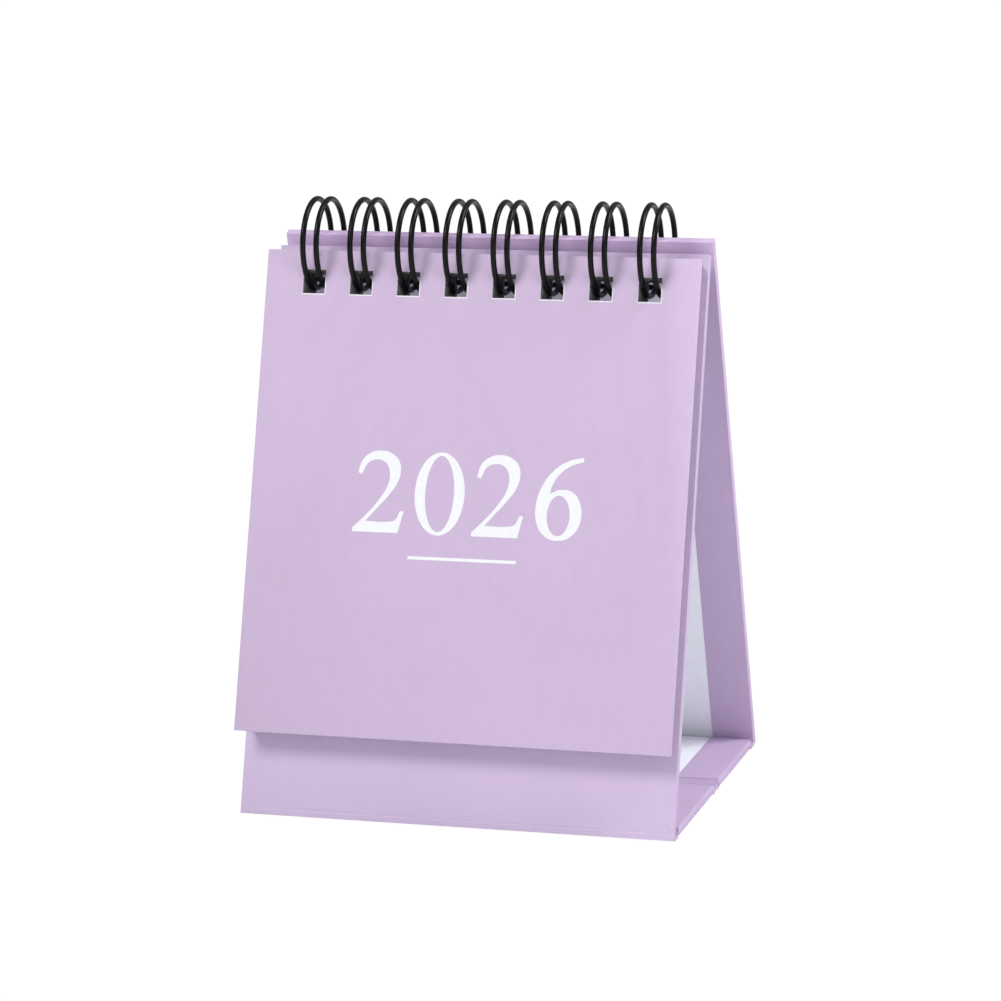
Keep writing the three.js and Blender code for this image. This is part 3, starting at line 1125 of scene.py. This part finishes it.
@dataclass
class Studio:
    """The pale floor, the soft lamps, the white surround and the camera."""

    distance: float = 665.409 * MM
    azimuth: float = 16.216
    elevation: float = 12.926
    tilt: float = 1.252
    roll: float = 0.993
    aim: Vector = field(default_factory=lambda: Vector((0, 0.455 * MM, 35.45 * MM)))
    lens: float = 136.8
    sensor: float = 36.0

    def camera(self) -> bpy.types.Object:
        """Sets up the camera at the photograph's viewing angle."""
        azimuth, elevation = math.radians(self.azimuth), math.radians(self.elevation)
        back = Vector((math.sin(azimuth) * math.cos(elevation),
                       -math.cos(azimuth) * math.cos(elevation), math.sin(elevation)))
        ahead = -back
        right = ahead.cross(Vector((0, 0, 1))).normalized()
        up = right.cross(ahead)
        tilt = Matrix.Rotation(math.radians(self.tilt), 3, right)
        ahead, up = tilt @ ahead, tilt @ up
        roll = Matrix.Rotation(math.radians(self.roll), 3, ahead)
        right, up = roll @ right, roll @ up
        data = bpy.data.cameras.new("view")
        data.lens = self.lens
        data.sensor_width = self.sensor
        data.clip_start = 0.01
        camera = bpy.data.objects.new("view", data)
        bpy.context.scene.collection.objects.link(camera)
        turn = Matrix((right, up, -ahead)).transposed().to_4x4()
        camera.matrix_world = Matrix.Translation(self.aim + back * self.distance) @ turn
        bpy.context.scene.camera = camera
        return camera

    def floor(self) -> bpy.types.Object:
        """Lays a wide pale floor that keeps the object's shadow and reads white elsewhere."""
        bpy.ops.mesh.primitive_plane_add(size=6, location=(0, 0, -0.05 * MM))
        floor = bpy.context.object
        floor.name = "floor"
        sheet = NodeSheet("floor_pale")
        sheet.tree.nodes.remove(sheet.shader)
        matt = sheet.tree.nodes.new("ShaderNodeBsdfDiffuse")
        matt.inputs["Color"].default_value = (0.93, 0.93, 0.93, 1)
        glow = sheet.tree.nodes.new("ShaderNodeEmission")
        glow.inputs["Color"].default_value = (1, 1, 1, 1)
        glow.inputs["Strength"].default_value = 1.03
        share = sheet.tree.nodes.new("ShaderNodeLightPath")
        seen = sheet.tree.nodes.new("ShaderNodeMath")
        seen.operation = "MULTIPLY"
        seen.inputs[1].default_value = 0.97
        sheet.link(share, "Is Camera Ray", seen, 0)
        mix = sheet.tree.nodes.new("ShaderNodeMixShader")
        sheet.link(seen, "Value", mix, "Fac")
        sheet.link(matt, "BSDF", mix, 1)
        sheet.link(glow, "Emission", mix, 2)
        sheet.link(mix, "Shader", sheet.output, "Surface")
        floor.data.materials.append(sheet.material)
        return floor

    def lamp(self, name: str, place: Vector, size: float, power: float) -> bpy.types.Object:
        """Adds one soft square lamp that looks at the object.

        Args:
            name: The lamp's name.
            place: Where it stands, in metres.
            size: Its side, in metres.
            power: Its power in watts.

        Returns:
            The lamp object.
        """
        data = bpy.data.lights.new(name, "AREA")
        data.shape = "SQUARE"
        data.size = size
        data.energy = power
        lamp = bpy.data.objects.new(name, data)
        bpy.context.scene.collection.objects.link(lamp)
        aim = Vector((0, 0, 0.05)) - place
        lamp.matrix_world = Matrix.Translation(place) @ aim.to_track_quat("-Z", "Y").to_matrix().to_4x4()
        return lamp

    def surround(self) -> None:
        """Fills the world with white for the camera and a plain soft light for the object."""
        world = bpy.data.worlds.new("surround")
        bpy.context.scene.world = world
        world.use_nodes = True
        tree = world.node_tree
        tree.nodes.clear()
        output = tree.nodes.new("ShaderNodeOutputWorld")
        soft = tree.nodes.new("ShaderNodeBackground")
        soft.inputs["Color"].default_value = (0.97, 0.98, 1.0, 1)
        soft.inputs["Strength"].default_value = 0.35
        white = tree.nodes.new("ShaderNodeBackground")
        white.inputs["Color"].default_value = (1, 1, 1, 1)
        white.inputs["Strength"].default_value = 1.0
        path = tree.nodes.new("ShaderNodeLightPath")
        mix = tree.nodes.new("ShaderNodeMixShader")
        tree.links.new(path.outputs["Is Camera Ray"], mix.inputs["Fac"])
        tree.links.new(soft.outputs["Background"], mix.inputs[1])
        tree.links.new(white.outputs["Background"], mix.inputs[2])
        tree.links.new(mix.outputs["Shader"], output.inputs["Surface"])

    def build(self) -> None:
        """Sets up the whole studio."""
        self.camera()
        self.floor()
        self.lamp("key", Vector((-0.5, -0.95, 1.05)), 0.5, 12.0)
        self.lamp("fill", Vector((1.05, -0.75, 0.1)), 0.7, 3.6)
        self.lamp("side", Vector((0.75, 0.25, 1.05)), 0.5, 10.5)
        self.surround()
        bpy.context.scene.view_settings.view_transform = "Standard"


def main() -> None:
    """Builds the calendar round its frame and sets up the studio."""
    logging.basicConfig(level=logging.INFO, format="%(message)s")
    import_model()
    deselect()
    Studio().build()
    low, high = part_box("wire_binding")
    middle = Vector((0, (low.y + high.y) / 2, high.z - (LOOP_RADIUS + WIRE_DIAMETER / 2) * MM))
    finishes = Finishes()
    panels = {"front": "root", "back": "back_panel",
              "base_front": "base_front_panel", "base_rear": "base_rear_panel"}
    pieces: list[bpy.types.Object] = []
    for name, body in panels.items():
        pieces += WrappedPanel(name, body, finishes).build()
    pieces += crease_strips(finishes)
    pieces.append(WireBinding(middle, finishes).build())
    pieces += LeafStack(TentPlane(Side.FRONT, middle), finishes).build()
    for piece in pieces:
        LOG.info("built %s with %d faces", piece.name, len(piece.data.polygons))


if __name__ == "__main__":
    main()
